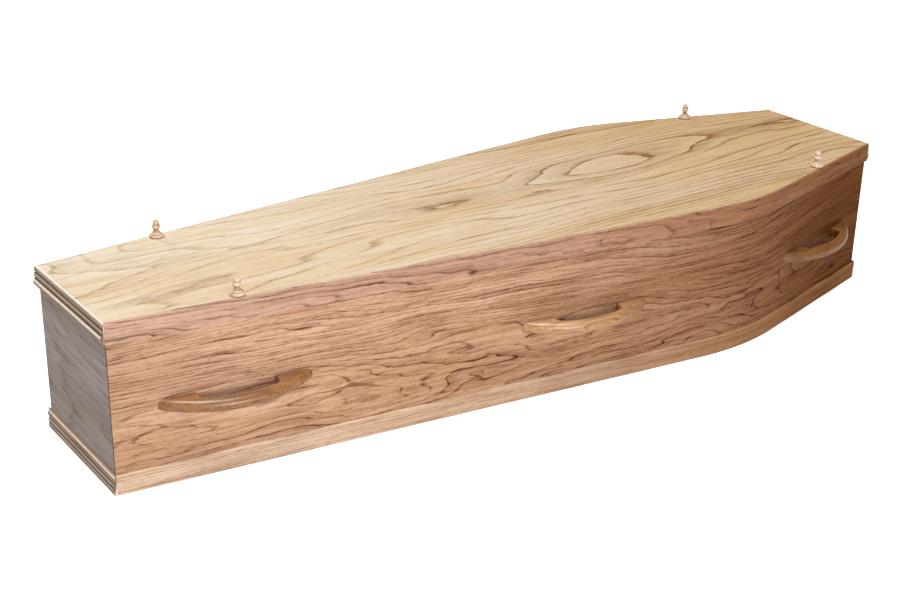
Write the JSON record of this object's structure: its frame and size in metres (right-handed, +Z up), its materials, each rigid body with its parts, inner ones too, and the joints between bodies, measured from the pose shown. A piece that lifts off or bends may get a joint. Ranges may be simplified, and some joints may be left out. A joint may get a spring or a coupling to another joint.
{
  "type": "wooden coffin",
  "caption": "Tapered wooden coffin with bent shoulders, a flat lift-off lid, beaded end mouldings, bow handles along the sides and turned finials on the lid.",
  "frame": {"origin": "on the ground plane, under the middle of the overall length and width; z = 0 is the underside of the box", "axes": "+X runs along the length towards the head end, +Z is up, -Y is the side called left (that of someone lying face up inside)"},
  "size_m": [1.9206, 0.6404, 0.3745],
  "materials": {
    "lid_oak": "satin pale oak veneer with long cathedral figure",
    "side_oak": "satin red-brown oak veneer",
    "end_oak": "satin oak veneer",
    "lid_strip_oak": "satin oak edge strip",
    "base_strip_oak": "satin straight-grained oak edge strip",
    "moulding_oak": "satin oak, beaded",
    "handle_oak": "lacquered laminated oak",
    "finial_wood": "lacquered turned pale hardwood",
    "floor_board": "plain sanded board"
  },
  "bodies": {
    "root": {"base_board": "floor_board", "side_panel_left": "side_oak", "side_panel_right": "side_oak", "foot_panel": "end_oak", "head_panel": "end_oak", "lid_board": "lid_oak", "lid_strip_left": "lid_strip_oak", "base_strip_left": "base_strip_oak", "lid_strip_right": "lid_strip_oak", "base_strip_right": "base_strip_oak", "lid_moulding_foot": "moulding_oak", "base_moulding_foot": "moulding_oak", "lid_moulding_head": "moulding_oak", "base_moulding_head": "moulding_oak", "handle_foot_left": "handle_oak", "handle_foot_right": "handle_oak", "handle_waist_left": "handle_oak", "handle_waist_right": "handle_oak", "handle_head_left": "handle_oak", "handle_head_right": "handle_oak", "finial_foot_left": "finial_wood", "finial_foot_right": "finial_wood", "finial_head_left": "finial_wood", "finial_head_right": "finial_wood"}
  },
  "joints": []
}
